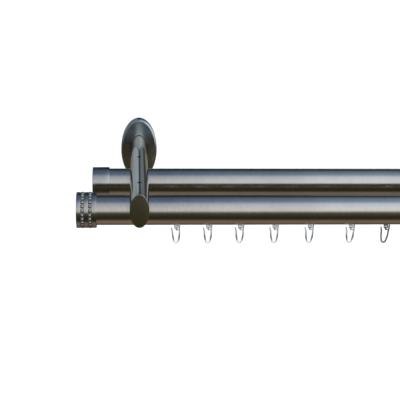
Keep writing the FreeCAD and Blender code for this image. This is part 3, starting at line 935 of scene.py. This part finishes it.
gliderMesh = finishShape(gliderShape(), "glider", sharp=40)
hookMesh = finishShape(hookShape(), "curtainHook", sharp=45)
smokeGlider = gliderMesh.copy()
smokeHook = hookMesh.copy()
for rod in rodNames:
    depth, height = rodAxis[rod]
    for number, lean in enumerate(hookLeans, start=1):
        glider = f"{rod}_glider_{number}"
        hook = f"{rod}_hook_{number}"
        slot = nodeSlots[glider]
        smoky = slot == "smoke_plastic"
        low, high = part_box(glider)
        across = (low.x + high.x) / 2
        addPiece(
            f"{rod}Glider{number}Moulded",
            smokeGlider if smoky else gliderMesh,
            slot,
            glider,
            shifted(across, depth, height),
            glider,
        )
        leaning = (smokeHook if smoky else hookMesh).copy()
        leaning.transform(Matrix.Rotation(math.radians(lean), 4, "Y"))
        addPiece(
            f"{rod}Hook{number}Moulded",
            leaning,
            slot,
            hook,
            shifted(across, depth, height - hookLook["barBelowAxis"] * mm),
            hook,
            None if smoky else hookFinish,
        )

print("studio")

# the pole is lit from all round: pale light in front and above, a bluish ceiling, and olive and
# brown below eye level. Bands go by a direction's angle above the front, in degrees: bands hold
# straight ahead and to the left, rightBands to the right. Sectors lie behind the pole and go by
# the angle from straight up towards the right. The spans are shares of a direction's length, to
# the right (rightward, reach), away (ring), up (endHeights) or to the front (frontward).
studio = {
    "bands": [
        (-180, (0.02, 0.022, 0.022)),
        (-130, (0.10, 0.075, 0.05)),
        (-100, (0.25, 0.185, 0.125)),
        (-78, (0.25, 0.19, 0.14)),
        (-67, (0.15, 0.115, 0.08)),
        (-59, (0.036, 0.027, 0.015)),
        (-40, (0.034, 0.028, 0.014)),
        (-22, (0.05, 0.047, 0.024)),
        (-6, (0.075, 0.072, 0.045)),
        (2, (0.3, 0.3, 0.26)),
        (9, (0.74, 0.72, 0.67)),
        (20, (0.77, 0.74, 0.72)),
        (36, (0.65, 0.67, 0.69)),
        (52, (0.53, 0.555, 0.61)),
        (64, (0.47, 0.5, 0.575)),
        (74, (0.29, 0.34, 0.43)),
        (86, (0.13, 0.185, 0.275)),
        (108, (0.11, 0.165, 0.24)),
        (128, (0.08, 0.11, 0.145)),
        (139, (0.014, 0.018, 0.022)),
        (180, (0.018, 0.019, 0.019)),
    ],
    "rightBands": [
        (-180, (0.02, 0.022, 0.022)),
        (-130, (0.10, 0.075, 0.05)),
        (-100, (0.25, 0.185, 0.125)),
        (-81, (0.25, 0.19, 0.14)),
        (-70, (0.15, 0.115, 0.08)),
        (-61, (0.036, 0.027, 0.015)),
        (-40, (0.034, 0.028, 0.014)),
        (-22, (0.065, 0.061, 0.031)),
        (-6, (0.1, 0.096, 0.06)),
        (2, (0.4, 0.4, 0.35)),
        (9, (1.03, 1.03, 0.96)),
        (20, (1.08, 1.08, 1.08)),
        (36, (1.01, 1.06, 1.1)),
        (52, (0.92, 1.0, 1.08)),
        (64, (0.81, 0.94, 1.06)),
        (74, (0.53, 0.66, 0.8)),
        (86, (0.28, 0.4, 0.53)),
        (97, (0.27, 0.37, 0.46)),
        (108, (0.22, 0.3, 0.37)),
        (128, (0.13, 0.165, 0.2)),
        (139, (0.02, 0.026, 0.03)),
        (180, (0.018, 0.019, 0.019)),
    ],
    "sectors": [
        (-158, (0.04, 0.036, 0.034)),
        (-146, (0.17, 0.145, 0.12)),
        (-112, (0.26, 0.25, 0.24)),
        (-92, (0.33, 0.37, 0.40)),
        (-22, (0.4, 0.48, 0.54)),
        (-8, (0.04, 0.07, 0.1)),
        (18, (0.04, 0.07, 0.1)),
        (32, (0.19, 0.21, 0.25)),
        (74, (0.19, 0.2, 0.21)),
        (82, (0.055, 0.055, 0.05)),
        (104, (0.05, 0.05, 0.045)),
        (116, (0.22, 0.22, 0.19)),
        (150, (0.24, 0.24, 0.2)),
        (162, (0.04, 0.036, 0.034)),
    ],
    "rightward": (0.03, 0.19),
    "ring": (0.88, 0.972),
    "ringEdge": 0.01,
    "endHeights": (-0.22, 0.0),
    "ends": (
        {"reach": (0.55, 0.8), "low": (0.085, 0.08, 0.06), "high": (1.1, 1.1, 1.08)},
        {"reach": (-0.65, -0.9), "low": (0.06, 0.055, 0.06), "high": (0.25, 0.25, 0.28)},
    ),
    "secondGlance": 0.45,
    "frontward": (0.6, 0.9),
    "backdrop": (0.93, 0.93, 0.93),
}


def spanMask(tree, value, low, high, soft):
    up = rangeOf(tree, value, low - soft, low + soft, smooth=True)
    down = rangeOf(tree, value, high - soft, high + soft, 1.0, 0.0, smooth=True)
    return mathOf(tree, "MULTIPLY", up, down)


def makeStudio():
    world = bpy.data.worlds.new("studioLight")
    scene.world = world
    world.use_nodes = True
    tree = world.node_tree
    tree.nodes.clear()
    direction = addNode(tree, "ShaderNodeTexCoord").outputs["Generated"]
    split = addNode(tree, "ShaderNodeSeparateXYZ")
    feed(tree, direction, split.inputs[0])
    across, away, up = split.outputs
    toRoom = mathOf(tree, "MULTIPLY", away, -1.0)
    sweep = mathOf(tree, "ARCTAN2", up, toRoom)
    turn = rangeOf(tree, sweep, -math.pi, math.pi)
    bands, rightBands = [
        rampOf(tree, turn, [(angle / 360 + 0.5, tone) for angle, tone in studio[key]])
        for key in ("bands", "rightBands")
    ]
    # the room is brighter towards the right end
    rightward = rangeOf(tree, across, *studio["rightward"], smooth=True)
    colour = mixOf(tree, rightward, bands, rightBands)
    # pale and dark things behind the pole, in a ring that the bracket arms mirror
    around = rangeOf(tree, mathOf(tree, "ARCTAN2", across, up), -math.pi, math.pi)
    stops = [(angle / 360 + 0.5, tone) for angle, tone in studio["sectors"]]
    ring = spanMask(tree, away, *studio["ring"], studio["ringEdge"])
    colour = mixOf(tree, ring, colour, rampOf(tree, around, stops))
    # the ends of the room, pale above and dark below
    height = rangeOf(tree, up, *studio["endHeights"], smooth=True)
    for end in studio["ends"]:
        tone = mixOf(tree, height, end["low"] + (1,), end["high"] + (1,))
        share = rangeOf(tree, across, *end["reach"], smooth=True)
        colour = mixOf(tree, share, colour, tone)
    # where one piece mirrors another the room is dimmer, apart from what lies in front
    path = addNode(tree, "ShaderNodeLightPath")
    glance = rangeOf(tree, path.outputs["Glossy Depth"], 1.0, 2.0, 1.0, studio["secondGlance"])
    frontward = rangeOf(tree, toRoom, *studio["frontward"], smooth=True)
    colour = scaledBy(tree, colour, mathOf(tree, "MAXIMUM", glance, frontward))
    # the pale backdrop shows behind the pole, and through its clear plastic
    straight = mathOf(
        tree, "MAXIMUM", path.outputs["Is Camera Ray"], path.outputs["Is Transmission Ray"]
    )
    colour = mixOf(tree, straight, colour, studio["backdrop"] + (1,))
    light = addNode(tree, "ShaderNodeBackground")
    feed(tree, colour, light.inputs["Color"])
    output = addNode(tree, "ShaderNodeOutputWorld")
    feed(tree, light.outputs[0], output.inputs["Surface"])


makeStudio()
scene.view_settings.view_transform = "Standard"

# a plain pale floor well below the pole, and soft light from above the camera
floorLook = {
    "drop": 0.9,
    "side": 24.0,
    "tones": ((0.90, 0.90, 0.90), (0.92, 0.92, 0.92)),
    "cloud": (1.5, 1.5, 1.5),
    "roughness": 0.9,
}
# softness and tilt are in degrees
skyLook = {"strength": 2.6, "softness": 60.0, "tilt": 20.0}


def makeFloor():
    half = floorLook["side"] / 2
    z = cadLow.z - floorLook["drop"]
    mesh = bpy.data.meshes.new("floor")
    mesh.from_pydata([(x * half, y * half, z) for x, y in squareCorners], [], [(0, 1, 2, 3)])
    material, tree, shader, place = newMaterial("floorPaint")
    cloud = rangeOf(tree, noiseOf(tree, place, floorLook["cloud"]), *noiseSpan)
    first, second = floorLook["tones"]
    feed(tree, mixOf(tree, cloud, first + (1,), second + (1,)), shader.inputs["Base Color"])
    shader.inputs["Roughness"].default_value = floorLook["roughness"]
    shader.inputs["Specular IOR Level"].default_value = 0.0
    mesh.materials.append(material)
    floor = bpy.data.objects.new("floor", mesh)
    scene.collection.objects.link(floor)
    floor.visible_glossy = False


def makeSky():
    light = bpy.data.lights.new("skylight", "SUN")
    light.energy = skyLook["strength"]
    light.angle = math.radians(skyLook["softness"])
    place = bpy.data.objects.new("skylight", light)
    place.rotation_euler = (math.radians(skyLook["tilt"]), 0, 0)
    place.visible_glossy = False
    scene.collection.objects.link(place)


makeFloor()
makeSky()

# the camera stands beside the left bracket, a little above the rods
view = {
    "beside": -2.11 * mm,
    "inFront": 870.74 * mm,
    "above": 240.74 * mm,
    "heading": -3.263,
    "pitch": -17.985,
    "roll": 0.969,
    "lens": 105.82,
    "sensor": 36.0,
}
bracketX = (armLow.x + armHigh.x) / 2
camera = bpy.data.cameras.new("camera")
camera.lens = view["lens"]
camera.sensor_width = view["sensor"]
cameraPlace = bpy.data.objects.new("camera", camera)
cameraPlace.matrix_world = (
    Matrix.Translation((bracketX + view["beside"], -view["inFront"], view["above"]))
    @ Matrix.Rotation(math.radians(view["heading"]), 4, "Z")
    @ Matrix.Rotation(math.radians(90 + view["pitch"]), 4, "X")
    @ Matrix.Rotation(math.radians(view["roll"]), 4, "Z")
)
scene.collection.objects.link(cameraPlace)
scene.camera = cameraPlace

print("done")
